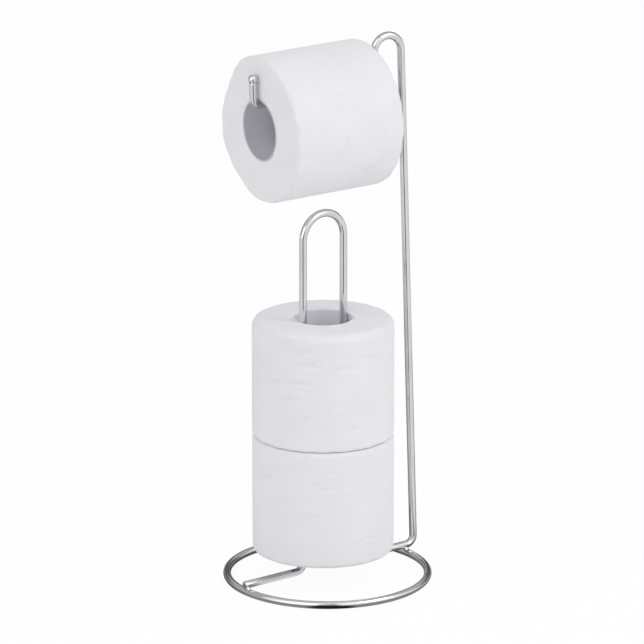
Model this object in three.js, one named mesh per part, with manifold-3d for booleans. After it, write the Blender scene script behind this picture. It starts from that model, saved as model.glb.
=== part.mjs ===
// Freestanding toilet paper holder.
// One chromed wire runs from the base ring up round a spindle loop, back over the ring, up a
// tall upright, over a small hook and along a bar that ends in an upturned tip with a ball.
// One roll hangs on the bar and spare rolls stand on the loop.
// Lengths are in millimetres, +Z is up, and the base ring stands on Z = 0.
// +X runs along the spokes from their free end to the upright.
import * as THREE from 'three';
import { mergeVertices } from 'three/addons/utils/BufferGeometryUtils.js';
import Module from 'manifold-3d';

// Wire
const WIRE_D = 6;
const TOUCH_GAP = 0.3;            // left between two pieces that touch
const FOOT_BEND_INNER_R = 4;      // inside radius where legs and upright leave the spokes
const BAR_BEND_INNER_R = 2;       // inside radius at both ends of the bar
const HOOK_INNER_R = 9.5;

// Toilet rolls
const CORE_BORE_D = 46.5;
const CORE_WALL = 1;
const HANGING_PAPER_BUILD = 33;   // thickness of the wound paper on the hanging roll's core
const SPARE_PAPER_BUILD = 31.5;   // the same on the spare rolls
const ROLL_WIDTH = 94;
const ROLL_EDGE_R = 6;
const BORE_EDGE_R = 1;
const SPARE_ROLLS = 2;

// Stand
const CORE_PLAY = 0.35;           // between a core and each leg of the spindle loop
const SPARES_ABOVE_SPOKES = 12.7; // the loop's springy legs hold the lowest roll this high
const LOOP_OFFSET = -4.2;         // the loop stands this far off the ring's centre
const LOOP_ABOVE_SPARES = 86.8;   // what shows of the loop above the spare rolls
const HANG_CLEARANCE = 12;        // between the loop's top and the hanging roll at mid length
const UPRIGHT_GAP = 25.1;         // between the top spare roll and the upright
const UPRIGHT_LEAN_DEG = 2.15;
const HOOK_TURN_DEG = 5.7;        // the hook and bar are turned this much off the spokes
const RING_INSET = 8.1;           // ring centreline inside the upright's foot
const BAR_DROOP_DEG = 1.7;        // the bar falls this much towards its tip
const LIMB_STRAIGHT = 20;         // straight part of the hook's short limb
const LIMB_TO_ROLL = 8;           // between the limb and the back of the hanging roll
const ROLL_TO_TIP = 1.3;          // between the front of the hanging roll and the tip
const TIP_STRAIGHT = 13.1;
const BALL_OVERHANG = 0.75;       // ball radius beyond the wire's
const WELD_HALF_HEIGHT = 1.8;

// Facet counts
const WIRE_SIDES = 16;
const RING_SEGMENTS = 72;
const ROLL_SEGMENTS = 72;
const BALL_SEGMENTS = 24;
const BALL_STEPS = 8;
const EDGE_STEPS = 3;
const DEGREES_PER_BEND_STEP = 12;

// Sizes that follow from the ones above
const WIRE_R = WIRE_D / 2;
const FOOT_BEND_R = FOOT_BEND_INNER_R + WIRE_R;
const BAR_BEND_R = BAR_BEND_INNER_R + WIRE_R;
const HOOK_R = HOOK_INNER_R + WIRE_R;
const CORE_BORE_R = CORE_BORE_D / 2;
const CORE_R = CORE_BORE_R + CORE_WALL;
const PAPER_BORE_R = CORE_R + TOUCH_GAP;
const HANGING_ROLL_R = PAPER_BORE_R + HANGING_PAPER_BUILD;
const SPARE_ROLL_R = PAPER_BORE_R + SPARE_PAPER_BUILD;
const LEG_SPREAD = CORE_BORE_R - CORE_PLAY - WIRE_R;
const LEAN = THREE.MathUtils.degToRad(UPRIGHT_LEAN_DEG);
const HOOK_TURN = THREE.MathUtils.degToRad(HOOK_TURN_DEG);
const DROOP = THREE.MathUtils.degToRad(BAR_DROOP_DEG);
const UP = new THREE.Vector3(0, 0, 1);
const HOOK_DIRECTION = new THREE.Vector3(-Math.cos(HOOK_TURN), Math.sin(HOOK_TURN), 0);
const BAR_DIRECTION = HOOK_DIRECTION.clone().multiplyScalar(Math.cos(DROOP))
  .addScaledVector(UP, -Math.sin(DROOP));
const TIP_DIRECTION = HOOK_DIRECTION.clone().multiplyScalar(Math.sin(DROOP))
  .addScaledVector(UP, Math.cos(DROOP));

const RING_Z = WIRE_R;
const SPOKE_Z = WIRE_D + TOUCH_GAP + WIRE_R;
const SEAT_Z = SPOKE_Z + WIRE_R + SPARES_ABOVE_SPOKES;
const SPARES_TOP = SEAT_Z + SPARE_ROLLS * ROLL_WIDTH + (SPARE_ROLLS - 1) * TOUCH_GAP;
const LOOP_TOP = SPARES_TOP + LOOP_ABOVE_SPARES;
const HANGING_AXIS_Z = LOOP_TOP + HANG_CLEARANCE + HANGING_ROLL_R;
const ROLL_DROP = CORE_BORE_R - TOUCH_GAP - WIRE_R;
const ROLL_START = WIRE_R + LIMB_TO_ROLL;
const BAR_Z = HANGING_AXIS_Z + ROLL_DROP * Math.cos(DROOP)
  + (ROLL_START + ROLL_WIDTH / 2) * Math.sin(DROOP);
const HOOK_TOP_Z = BAR_Z + BAR_BEND_R + LIMB_STRAIGHT + HOOK_R;
const UPRIGHT_FOOT_X = LOOP_OFFSET + SPARE_ROLL_R + UPRIGHT_GAP + WIRE_R / Math.cos(LEAN)
  + (SPARES_TOP - SPOKE_Z) * Math.tan(LEAN);
const RING_R = UPRIGHT_FOOT_X - RING_INSET;
const SPOKE_END_X = -(RING_R + WIRE_R);
const HOOK_SPAN = HOOK_R * (Math.tan(Math.PI / 4 - LEAN / 2) + 1);
const BAR_LENGTH = ROLL_START + ROLL_WIDTH + ROLL_TO_TIP + WIRE_R;
const BALL_R = WIRE_R + BALL_OVERHANG;

// The ring's centre is moved so that the origin lies under the middle of the whole stand.
const UPRIGHT_OUTER_X = UPRIGHT_FOOT_X - FOOT_BEND_R * Math.tan(Math.PI / 4 + LEAN / 2) + FOOT_BEND_R
  + WIRE_R;
const STAND_SHIFT_X = -(UPRIGHT_OUTER_X + SPOKE_END_X) / 2;

// Wire along a polyline whose inner corners are rounded by tangent arcs. Its parameter steps
// evenly from station to station, so straight runs take no facets of their own.
class BentWire extends THREE.Curve {
  constructor(corners) {
    super();
    this.stations = wireStations(corners);
    this.steps = this.stations.length - 1;
  }

  getPoint(t, target = new THREE.Vector3()) {
    return this.between('point', t, target);
  }

  getPointAt(u, target) {
    return this.getPoint(u, target);
  }

  getTangentAt(u, target = new THREE.Vector3()) {
    return this.between('tangent', u, target).normalize();
  }

  between(key, t, target) {
    const place = Math.min(t, 1) * this.steps;
    const index = Math.min(Math.floor(place), this.steps - 1);
    const from = this.stations[index][key];
    const to = this.stations[index + 1][key];
    return target.copy(from).lerp(to, place - index);
  }
}

// Points and directions of a wire bent at each inner corner to that corner's radius.
function wireStations(corners) {
  const stations = [];
  const last = corners.length - 1;
  corners.forEach((corner, index) => {
    if (index === 0 || index === last) {
      const from = corners[Math.max(index - 1, 0)].at;
      const to = corners[Math.min(index + 1, last)].at;
      stations.push({ point: corner.at.clone(), tangent: to.clone().sub(from).normalize() });
      return;
    }
    stations.push(...bendStations(corners[index - 1].at, corner, corners[index + 1].at));
  });
  return stations;
}

// Stations along one arc, which leaves the run into the corner and joins the run out of it.
function bendStations(before, corner, after) {
  const into = corner.at.clone().sub(before).normalize();
  const outOf = after.clone().sub(corner.at).normalize();
  const turn = into.angleTo(outOf);
  const start = corner.at.clone().addScaledVector(into, -corner.radius * Math.tan(turn / 2));
  const inward = outOf.clone().addScaledVector(into, -outOf.dot(into)).normalize();
  const steps = Math.ceil(THREE.MathUtils.radToDeg(turn) / DEGREES_PER_BEND_STEP);
  const stations = [];
  for (let step = 0; step <= steps; step += 1) {
    const angle = turn * step / steps;
    const point = start.clone()
      .addScaledVector(into, corner.radius * Math.sin(angle))
      .addScaledVector(inward, corner.radius * (1 - Math.cos(angle)));
    const tangent = into.clone().multiplyScalar(Math.cos(angle))
      .addScaledVector(inward, Math.sin(angle));
    stations.push({ point, tangent });
  }
  return stations;
}

// Corners of a many-sided wire section, with flats on the wire's true diameter.
function wireSection(radius) {
  const points = [];
  for (let side = 0; side < WIRE_SIDES; side += 1) {
    const angle = (side + 0.5) * 2 * Math.PI / WIRE_SIDES;
    const reach = radius / Math.cos(Math.PI / WIRE_SIDES);
    points.push(new THREE.Vector2(reach * Math.cos(angle), reach * Math.sin(angle)));
  }
  return points;
}

// Solid of revolution about +Z, from a profile of (distance from the axis, height).
function revolve(profile, segments) {
  return new THREE.LatheGeometry(profile, segments).rotateX(Math.PI / 2);
}

// Quarter circle from one angle to the next, as profile points.
function quarterArc(centre, radius, startAngle) {
  const points = [];
  for (let step = 0; step <= EDGE_STEPS; step += 1) {
    const angle = startAngle + step / EDGE_STEPS * Math.PI / 2;
    points.push(new THREE.Vector2(
      centre.x + radius * Math.cos(angle),
      centre.y + radius * Math.sin(angle),
    ));
  }
  return points;
}

function chrome() {
  return new THREE.MeshStandardMaterial({ color: 0xd9dadd, roughness: 0.08, metalness: 1 });
}

function paper() {
  return new THREE.MeshStandardMaterial({ color: 0xe9e9ee, roughness: 0.95, metalness: 0 });
}

function cardboard() {
  return new THREE.MeshStandardMaterial({ color: 0x9a969b, roughness: 0.9, metalness: 0 });
}

function named(name, geometry, material) {
  const mesh = new THREE.Mesh(geometry, material);
  mesh.name = name;
  return mesh;
}

// Joining and cutting
const wasm = await Module();
wasm.setup();

function toSolid(geometry) {
  const bare = geometry.clone();
  bare.deleteAttribute('normal');
  bare.deleteAttribute('uv');
  const merged = mergeVertices(bare);
  return new wasm.Manifold(new wasm.Mesh({
    numProp: 3,
    vertProperties: Float32Array.from(merged.attributes.position.array),
    triVerts: Uint32Array.from(merged.index.array),
  }));
}

function toGeometry(solid) {
  const { vertProperties, triVerts } = solid.getMesh();
  const geometry = new THREE.BufferGeometry();
  geometry.setAttribute('position', new THREE.BufferAttribute(vertProperties, 3));
  geometry.setIndex(new THREE.BufferAttribute(triVerts, 1));
  geometry.computeVertexNormals();
  return geometry;
}

// Base ring
function ringGeometry(wireRadius) {
  const section = wireSection(wireRadius);
  const profile = section.map(({ x, y }) => new THREE.Vector2(RING_R + x, RING_Z + y));
  profile.push(profile[0].clone());
  return revolve(profile, RING_SEGMENTS);
}

// The stand's one wire, from the free end of the front spoke to the tip of the bar.
function standWireCorners() {
  const legX = (side) => LOOP_OFFSET + side * LEG_SPREAD;
  const archZ = LOOP_TOP - WIRE_R;
  const hookZ = HOOK_TOP_Z;
  const hookStart = new THREE.Vector3(
    UPRIGHT_FOOT_X - (hookZ - SPOKE_Z) * Math.tan(LEAN),
    0,
    hookZ,
  );
  const hookEnd = hookStart.clone().addScaledVector(HOOK_DIRECTION, HOOK_SPAN);
  const barStart = hookEnd.clone().setZ(BAR_Z);
  const barEnd = barStart.clone().addScaledVector(BAR_DIRECTION, BAR_LENGTH);
  const tip = barEnd.clone().addScaledVector(TIP_DIRECTION, BAR_BEND_R + TIP_STRAIGHT);
  return [
    { at: new THREE.Vector3(SPOKE_END_X, 0, SPOKE_Z) },
    { at: new THREE.Vector3(legX(-1), 0, SPOKE_Z), radius: FOOT_BEND_R },
    { at: new THREE.Vector3(legX(-1), 0, archZ), radius: LEG_SPREAD },
    { at: new THREE.Vector3(legX(1), 0, archZ), radius: LEG_SPREAD },
    { at: new THREE.Vector3(legX(1), 0, SPOKE_Z), radius: FOOT_BEND_R },
    { at: new THREE.Vector3(UPRIGHT_FOOT_X, 0, SPOKE_Z), radius: FOOT_BEND_R },
    { at: hookStart, radius: HOOK_R },
    { at: hookEnd, radius: HOOK_R },
    { at: barStart, radius: BAR_BEND_R },
    { at: barEnd, radius: BAR_BEND_R },
    { at: tip },
  ];
}

function wireGeometry(corners, wireRadius) {
  const path = new BentWire(corners);
  return new THREE.ExtrudeGeometry(new THREE.Shape(wireSection(wireRadius)), {
    steps: path.steps,
    extrudePath: path,
  });
}

// Steel ball on the cut end of the wire: a sphere with a flat as wide as the wire.
function tipBall(wireEnd) {
  const flatDrop = Math.sqrt(BALL_R ** 2 - WIRE_R ** 2);
  const flatAngle = -Math.acos(WIRE_R / BALL_R);
  const profile = [new THREE.Vector2(0, -flatDrop)];
  for (let step = 0; step < BALL_STEPS; step += 1) {
    const angle = flatAngle + (Math.PI / 2 - flatAngle) * step / BALL_STEPS;
    profile.push(new THREE.Vector2(BALL_R * Math.cos(angle), BALL_R * Math.sin(angle)));
  }
  profile.push(new THREE.Vector2(0, BALL_R));
  const ball = named('tip_ball', revolve(profile, BALL_SEGMENTS), chrome());
  ball.quaternion.setFromUnitVectors(UP, TIP_DIRECTION);
  ball.position.copy(wireEnd).addScaledVector(TIP_DIRECTION, TOUCH_GAP + flatDrop);
  return ball;
}

// Weld bead where a spoke crosses the ring: a low lens as wide as the wire, cut back by both.
function weldBead(name, crossingX) {
  const lens = new THREE.SphereGeometry(1, BALL_SEGMENTS, BALL_STEPS)
    .rotateX(Math.PI / 2)
    .scale(WIRE_R, WIRE_R, WELD_HALF_HEIGHT)
    .translate(crossingX, 0, WIRE_D + TOUCH_GAP / 2);
  const clearRadius = WIRE_R + TOUCH_GAP;
  const spoke = wireGeometry([
    { at: new THREE.Vector3(crossingX - WIRE_D, 0, SPOKE_Z) },
    { at: new THREE.Vector3(crossingX + WIRE_D, 0, SPOKE_Z) },
  ], clearRadius);
  const bead = toSolid(lens)
    .subtract(toSolid(spoke))
    .subtract(toSolid(ringGeometry(clearRadius)));
  return named(name, toGeometry(bead), chrome());
}

// Cardboard tube that the paper is wound on, standing on Z = 0.
function coreTube(name) {
  const profile = [
    new THREE.Vector2(CORE_BORE_R, 0),
    new THREE.Vector2(CORE_R, 0),
    new THREE.Vector2(CORE_R, ROLL_WIDTH),
    new THREE.Vector2(CORE_BORE_R, ROLL_WIDTH),
    new THREE.Vector2(CORE_BORE_R, 0),
  ];
  return named(name, revolve(profile, ROLL_SEGMENTS), cardboard());
}

// Wound paper with soft outer edges, standing on Z = 0.
function woundPaper(name, rollRadius) {
  const corner = (x, y) => new THREE.Vector2(x, y);
  const outerX = rollRadius - ROLL_EDGE_R;
  const boreX = PAPER_BORE_R + BORE_EDGE_R;
  const profile = [
    ...quarterArc(corner(boreX, BORE_EDGE_R), BORE_EDGE_R, Math.PI),
    ...quarterArc(corner(outerX, ROLL_EDGE_R), ROLL_EDGE_R, -Math.PI / 2),
    ...quarterArc(corner(outerX, ROLL_WIDTH - ROLL_EDGE_R), ROLL_EDGE_R, 0),
    ...quarterArc(corner(boreX, ROLL_WIDTH - BORE_EDGE_R), BORE_EDGE_R, Math.PI / 2),
  ];
  profile.push(profile[0].clone());
  return named(name, revolve(profile, ROLL_SEGMENTS), paper());
}

function toiletRoll(name, rollRadius) {
  const roll = new THREE.Group();
  roll.add(coreTube(`${name}_core`), woundPaper(`${name}_paper`, rollRadius));
  return roll;
}

// The roll in use: its core hangs along the top of the bar, close to the upturned tip.
function hangingRoll(barStart) {
  const roll = toiletRoll('hanging_roll', HANGING_ROLL_R);
  roll.quaternion.setFromUnitVectors(UP, BAR_DIRECTION);
  roll.position.copy(barStart)
    .addScaledVector(BAR_DIRECTION, ROLL_START)
    .addScaledVector(TIP_DIRECTION, -ROLL_DROP);
  return roll;
}

// Spare rolls stand on each other round the spindle loop, numbered from the bottom.
function spareRolls() {
  const rolls = new THREE.Group();
  for (let level = 0; level < SPARE_ROLLS; level += 1) {
    const roll = toiletRoll(`spare_roll_${level + 1}`, SPARE_ROLL_R);
    roll.position.set(LOOP_OFFSET, 0, SEAT_Z + level * (ROLL_WIDTH + TOUCH_GAP));
    rolls.add(roll);
  }
  return rolls;
}

function stand(corners) {
  const frame = new THREE.Group();
  frame.add(
    named('base_ring', ringGeometry(WIRE_R), chrome()),
    named('stand_wire', wireGeometry(corners, WIRE_R), chrome()),
    tipBall(corners.at(-1).at),
    weldBead('front_weld', -RING_R),
    weldBead('rear_weld', RING_R),
  );
  return frame;
}

function toiletPaperHolder() {
  const corners = standWireCorners();
  const barStart = corners.at(-3).at;
  const holder = new THREE.Group();
  holder.add(stand(corners), hangingRoll(barStart), spareRolls());
  holder.position.x = STAND_SHIFT_X;
  return holder;
}

export default toiletPaperHolder();
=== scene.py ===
"""Looks of a freestanding toilet paper holder.

One chromed wire runs from a base ring up round a spindle loop, back over the ring, up a tall
upright, over a hook and along a bar with an upturned tip. One roll hangs on the bar and two
spare rolls stand on the loop. Lengths are in metres, +Z is up, the floor is Z = 0, and +X runs
along the spokes towards the upright.
"""

from __future__ import annotations

import logging
import math
from dataclasses import dataclass, field
from enum import Enum
from typing import ClassVar, Mapping, Optional, Sequence, Union

import bpy
import numpy as np
from mathutils import Matrix, Vector

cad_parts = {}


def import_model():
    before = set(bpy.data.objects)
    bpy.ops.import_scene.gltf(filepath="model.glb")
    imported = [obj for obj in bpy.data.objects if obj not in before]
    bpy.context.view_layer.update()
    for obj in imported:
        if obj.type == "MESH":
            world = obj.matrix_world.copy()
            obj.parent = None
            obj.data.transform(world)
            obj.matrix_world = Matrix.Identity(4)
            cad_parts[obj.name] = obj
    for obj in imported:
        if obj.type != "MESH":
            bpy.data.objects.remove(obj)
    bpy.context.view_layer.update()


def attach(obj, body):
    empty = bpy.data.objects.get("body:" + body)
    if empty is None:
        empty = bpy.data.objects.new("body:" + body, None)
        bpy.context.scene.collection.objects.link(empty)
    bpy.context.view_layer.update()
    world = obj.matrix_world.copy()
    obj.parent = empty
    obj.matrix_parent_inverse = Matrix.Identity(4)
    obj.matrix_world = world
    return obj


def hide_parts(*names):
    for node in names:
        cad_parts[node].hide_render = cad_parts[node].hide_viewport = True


LOG = logging.getLogger("toilet_paper_holder")
MM = 0.001
FULL_TURN = 2 * math.pi
HALF_TURN = math.pi
QUARTER_TURN = math.pi / 2
UP = np.array((0.0, 0.0, 1.0))
WRAP = "wrap"
WHITE = (1.0, 1.0, 1.0, 1.0)

# Red, green, blue and alpha, repeats along three parts, ends of a smooth step, and any pair
Colour = tuple[float, float, float, float]
Scale = tuple[float, float, float]
Edges = tuple[float, float]
Span = tuple[float, float]


class Body(Enum):
    """Moving bodies of the holder, by their names in the frame."""

    STAND = "stand"
    HANGING_ROLL = "hanging_roll"
    SPARE_ROLL_1 = "spare_roll_1"
    SPARE_ROLL_2 = "spare_roll_2"


class Slot(Enum):
    """Material slots of the record that the pieces take their finish from."""

    CHROME = "chrome"
    PAPER = "paper"
    CARDBOARD = "cardboard"


# Angles, directions and objects


def level_direction(bearing: float) -> np.ndarray:
    """Level unit vector at a bearing from +Y towards +X: its sine, its cosine and 0."""
    return np.array((math.sin(bearing), math.cos(bearing), 0.0))


def level_circle(turn: np.ndarray) -> np.ndarray:
    """Level unit vectors at angles from +X towards +Y: their cosines, their sines and 0."""
    return np.stack((np.cos(turn), np.sin(turn), np.zeros_like(turn)), axis=1)


def turned_from(turn: np.ndarray, middle: float) -> np.ndarray:
    """Angle less a middle one, brought between minus and plus half a turn."""
    return (turn - middle + HALF_TURN) % FULL_TURN - HALF_TURN


def surface_grid(along: np.ndarray, around: np.ndarray) -> np.ndarray:
    """Surface coordinates that pair each row's way along with each column's way round."""
    return np.stack(np.meshgrid(along, around, indexing="ij"), axis=2)


def add_object(name: str, data: bpy.types.ID) -> bpy.types.Object:
    """Make an object and link it to the scene.

    Args:
        name: name of the object.
        data: its mesh, lamp or camera.

    Returns:
        The object.
    """
    made = bpy.data.objects.new(name, data)
    bpy.context.scene.collection.objects.link(made)
    return made


# Sizes


@dataclass(frozen=True)
class HolderSizes:
    """Driving sizes of the stand and its rolls, in metres, the same as its solids have."""

    wire_d: float = 6 * MM
    touch_gap: float = 0.3 * MM
    foot_bend_inner_r: float = 4 * MM
    bar_bend_inner_r: float = 2 * MM
    hook_inner_r: float = 9.5 * MM
    core_bore_d: float = 46.5 * MM
    core_wall: float = 1 * MM
    hanging_paper_build: float = 33 * MM
    spare_paper_build: float = 31.5 * MM
    roll_width: float = 94 * MM
    roll_edge_r: float = 6 * MM
    bore_edge_r: float = 1 * MM
    spare_rolls: int = 2
    core_play: float = 0.35 * MM
    spares_above_spokes: float = 12.7 * MM
    loop_offset: float = -4.2 * MM
    loop_above_spares: float = 86.8 * MM
    hang_clearance: float = 12 * MM
    upright_gap: float = 25.1 * MM
    upright_lean: float = math.radians(2.15)
    hook_turn: float = math.radians(5.7)
    ring_inset: float = 8.1 * MM
    bar_droop: float = math.radians(1.7)
    limb_straight: float = 20 * MM
    limb_to_roll: float = 8 * MM
    roll_to_tip: float = 1.3 * MM
    tip_straight: float = 13.1 * MM
    ball_overhang: float = 0.75 * MM

    @property
    def wire_r(self) -> float:
        """Radius of the wire."""
        return self.wire_d / 2

    @property
    def foot_bend_r(self) -> float:
        """Centreline radius where the legs and the upright leave the spokes."""
        return self.foot_bend_inner_r + self.wire_r

    @property
    def bar_bend_r(self) -> float:
        """Centreline radius at both ends of the bar."""
        return self.bar_bend_inner_r + self.wire_r

    @property
    def hook_r(self) -> float:
        """Centreline radius of the hook."""
        return self.hook_inner_r + self.wire_r

    @property
    def core_bore_r(self) -> float:
        """Inner radius of a roll's core."""
        return self.core_bore_d / 2

    @property
    def core_r(self) -> float:
        """Outer radius of a roll's core."""
        return self.core_bore_r + self.core_wall

    @property
    def hanging_roll_r(self) -> float:
        """Outer radius of the hanging roll."""
        return self.core_r + self.touch_gap + self.hanging_paper_build

    @property
    def spare_roll_r(self) -> float:
        """Outer radius of a spare roll."""
        return self.core_r + self.touch_gap + self.spare_paper_build

    @property
    def leg_spread(self) -> float:
        """Half the distance between the legs' centrelines."""
        return self.core_bore_r - self.core_play - self.wire_r

    @property
    def hook_direction(self) -> np.ndarray:
        """Level unit vector across the hook, towards the tip's side."""
        return np.array((-math.cos(self.hook_turn), math.sin(self.hook_turn), 0.0))

    @property
    def bar_direction(self) -> np.ndarray:
        """Unit vector along the bar, which falls a little towards the tip."""
        return self.hook_direction * math.cos(self.bar_droop) - UP * math.sin(self.bar_droop)

    @property
    def tip_direction(self) -> np.ndarray:
        """Unit vector up the tip, square to the bar."""
        return self.hook_direction * math.sin(self.bar_droop) + UP * math.cos(self.bar_droop)

    @property
    def spoke_z(self) -> float:
        """Height of the spokes' centreline, on top of the ring."""
        return self.wire_d + self.touch_gap + self.wire_r

    @property
    def seat_z(self) -> float:
        """Height at which the loop's springy legs hold the lowest roll."""
        return self.spoke_z + self.wire_r + self.spares_above_spokes

    @property
    def spares_top(self) -> float:
        """Height of the top of the upper spare roll."""
        gaps = (self.spare_rolls - 1) * self.touch_gap
        return self.seat_z + self.spare_rolls * self.roll_width + gaps

    @property
    def loop_top(self) -> float:
        """Height of the top of the spindle loop."""
        return self.spares_top + self.loop_above_spares

    @property
    def hanging_axis_z(self) -> float:
        """Height of the hanging roll's axis at its mid length."""
        return self.loop_top + self.hang_clearance + self.hanging_roll_r

    @property
    def roll_drop(self) -> float:
        """Distance of the hanging roll's axis under the bar's centreline."""
        return self.core_bore_r - self.touch_gap - self.wire_r

    @property
    def roll_start(self) -> float:
        """Distance along the bar from its first corner to the back of the hanging roll."""
        return self.wire_r + self.limb_to_roll

    @property
    def bar_z(self) -> float:
        """Height of the bar's first corner: the roll's axis plus its drop and the bar's fall."""
        fall = (self.roll_start + self.roll_width / 2) * math.sin(self.bar_droop)
        return self.hanging_axis_z + self.roll_drop * math.cos(self.bar_droop) + fall

    @property
    def hook_top_z(self) -> float:
        """Height of the corner that the hook rounds."""
        return self.bar_z + self.bar_bend_r + self.limb_straight + self.hook_r

    @property
    def upright_foot_x(self) -> float:
        """Distance of the upright's foot from the ring's centre.

        The upright passes the spare rolls' side by its gap where the lean brings it nearest,
        at the rolls' top. Its foot is further out by that height times the lean's tangent.

        Returns:
            The distance in metres.
        """
        roll_side = self.loop_offset + self.spare_roll_r + self.upright_gap
        lean_reach = (self.spares_top - self.spoke_z) * math.tan(self.upright_lean)
        return roll_side + self.wire_r / math.cos(self.upright_lean) + lean_reach

    @property
    def ring_r(self) -> float:
        """Centreline radius of the base ring."""
        return self.upright_foot_x - self.ring_inset

    @property
    def hook_span(self) -> float:
        """Distance between the hook's corners: its radius times the tangents of half their turns."""
        return self.hook_r * (math.tan((QUARTER_TURN - self.upright_lean) / 2) + 1)

    @property
    def bar_length(self) -> float:
        """Distance between the corners at the bar's two ends."""
        return self.roll_start + self.roll_width + self.roll_to_tip + self.wire_r

    @property
    def hook_start(self) -> np.ndarray:
        """Corner between the upright and the hook.

        It is nearer than the upright's foot by its height times the lean's tangent.

        Returns:
            The place, before the shift.
        """
        rise = self.hook_top_z - self.spoke_z
        x = self.upright_foot_x - rise * math.tan(self.upright_lean)
        return np.array((x, 0.0, self.hook_top_z))

    @property
    def bar_start(self) -> np.ndarray:
        """Corner between the hook's limb and the bar."""
        x, y, _ = self.hook_start + self.hook_direction * self.hook_span
        return np.array((x, y, self.bar_z))

    @property
    def ball_r(self) -> float:
        """Radius of the ball on the tip."""
        return self.wire_r + self.ball_overhang

    @property
    def shift(self) -> np.ndarray:
        """Move that puts the origin under the middle of the whole stand.

        The stand reaches past the ring on the upright's side only, where the foot's bend
        swells out, so the move is back along X by half the difference of the two reaches.

        Returns:
            The move in metres.
        """
        bend_reach = self.foot_bend_r * (1 - math.tan((QUARTER_TURN + self.upright_lean) / 2))
        outer_x = self.upright_foot_x + bend_reach + self.wire_r
        return np.array((-(outer_x - self.ring_r - self.wire_r) / 2, 0.0, 0.0))


# Mesh making


class MeshMaker:
    """Turns grids of points into closed, outward-facing, smooth-shaded objects."""

    QUAD_STEPS = np.array(((0, 0), (1, 0), (1, 1), (0, 1)))

    @classmethod
    def _corner_indices(cls, rows: int, columns: int, wrap_rows: bool) -> np.ndarray:
        """Row and column of each quad's four corners, counted past the seam.

        Args:
            rows: number of point rows.
            columns: number of point columns, which always close into a loop.
            wrap_rows: whether the last row joins the first.

        Returns:
            Whole numbers shaped (quads, 4, 2).
        """
        row, column = np.meshgrid(
            np.arange(rows if wrap_rows else rows - 1), np.arange(columns), indexing="ij"
        )
        start = np.stack((row.ravel(), column.ravel()), axis=1)
        return start[:, None, :] + cls.QUAD_STEPS[None, :, :]

    @classmethod
    def from_grid(
        cls,
        name: str,
        points: np.ndarray,
        uv: np.ndarray,
        wrap_rows: bool,
        attributes: Optional[Mapping[str, np.ndarray]] = None,
    ) -> bpy.types.Object:
        """Make an object from a grid of points whose columns close into loops.

        Where the rows don't wrap, a fan of triangles to the middle of the first and of the
        last loop closes each end. The faces are turned round if the sum of the triple
        products of their corners, six times the volume inside, comes out negative.

        Args:
            name: name of the piece.
            points: positions shaped (rows, columns, 3).
            uv: surface coordinates shaped (rows + 1, columns + 1, 2).
            wrap_rows: whether the last row joins the first.
            attributes: values shaped (rows, columns) that materials read by name.

        Returns:
            The object, linked to the scene.
        """
        rows, columns = points.shape[:2]
        corners = cls._corner_indices(rows, columns, wrap_rows)
        faces = (corners[..., 0] % rows) * columns + corners[..., 1] % columns
        face_uv = uv[corners[..., 0], corners[..., 1]]
        vertices = points.reshape(-1, 3)
        a, b, c, d = (vertices[faces[:, k]] for k in range(4))
        six_volumes = np.sum(a * np.cross(b, c)) + np.sum(a * np.cross(c, d))
        flipped = bool(six_volumes < 0)
        if flipped:
            faces, face_uv = faces[:, ::-1], face_uv[:, ::-1]
        polygons = faces.tolist()
        loops_uv = [face_uv.reshape(-1, 2)]
        if not wrap_rows:
            vertices, fans, fan_uv = cls._end_fans(vertices, rows, columns, uv, flipped)
            polygons += fans.tolist()
            loops_uv.append(fan_uv.reshape(-1, 2))
        mesh = bpy.data.meshes.new(name)
        mesh.from_pydata(vertices.tolist(), [], polygons)
        layer = mesh.uv_layers.new(name=WRAP)
        layer.data.foreach_set("uv", np.concatenate(loops_uv).astype(np.float32).ravel())
        for key, values in (attributes or {}).items():
            data = mesh.attributes.new(key, "FLOAT", "POINT").data
            data.foreach_set("value", values.astype(np.float32).ravel())
        mesh.polygons.foreach_set("use_smooth", np.ones(len(mesh.polygons), dtype=bool))
        mesh.update()
        return add_object(name, mesh)

    @staticmethod
    def _end_fans(
        vertices: np.ndarray, rows: int, columns: int, uv: np.ndarray, flipped: bool
    ) -> tuple[np.ndarray, np.ndarray, np.ndarray]:
        """Close both ends of an open tube with triangles to a middle point.

        Args:
            vertices: the tube's points, row after row.
            rows: number of rows.
            columns: number of columns.
            uv: the tube's surface coordinates.
            flipped: whether the tube's faces were turned round.

        Returns:
            The points with the two middles added, the triangles, and their coordinates.
        """
        first, last = vertices[:columns], vertices[-columns:]
        vertices = np.vstack((vertices, first.mean(axis=0), last.mean(axis=0)))
        here = np.arange(columns)
        following = (here + 1) % columns
        middles = len(vertices) - 2 + np.arange(2)[:, None] + np.zeros(columns, dtype=int)
        tail = (rows - 1) * columns
        start = np.stack((middles[0], here, following), axis=1)
        end = np.stack((middles[1], tail + following, tail + here), axis=1)
        fans = np.vstack((start, end))
        start_uv = np.stack((uv[0, :-1], uv[0, :-1], uv[0, 1:]), axis=1)
        end_uv = np.stack((uv[-1, :-1], uv[-1, 1:], uv[-1, :-1]), axis=1)
        fan_uv = np.vstack((start_uv, end_uv))
        return (vertices, fans[:, ::-1], fan_uv[:, ::-1]) if flipped else (vertices, fans, fan_uv)


@dataclass(frozen=True)
class Corner:
    """Corner of a bent wire: a place, the bend's centreline radius and its side vector."""

    at: np.ndarray
    radius: float
    across: np.ndarray


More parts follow.
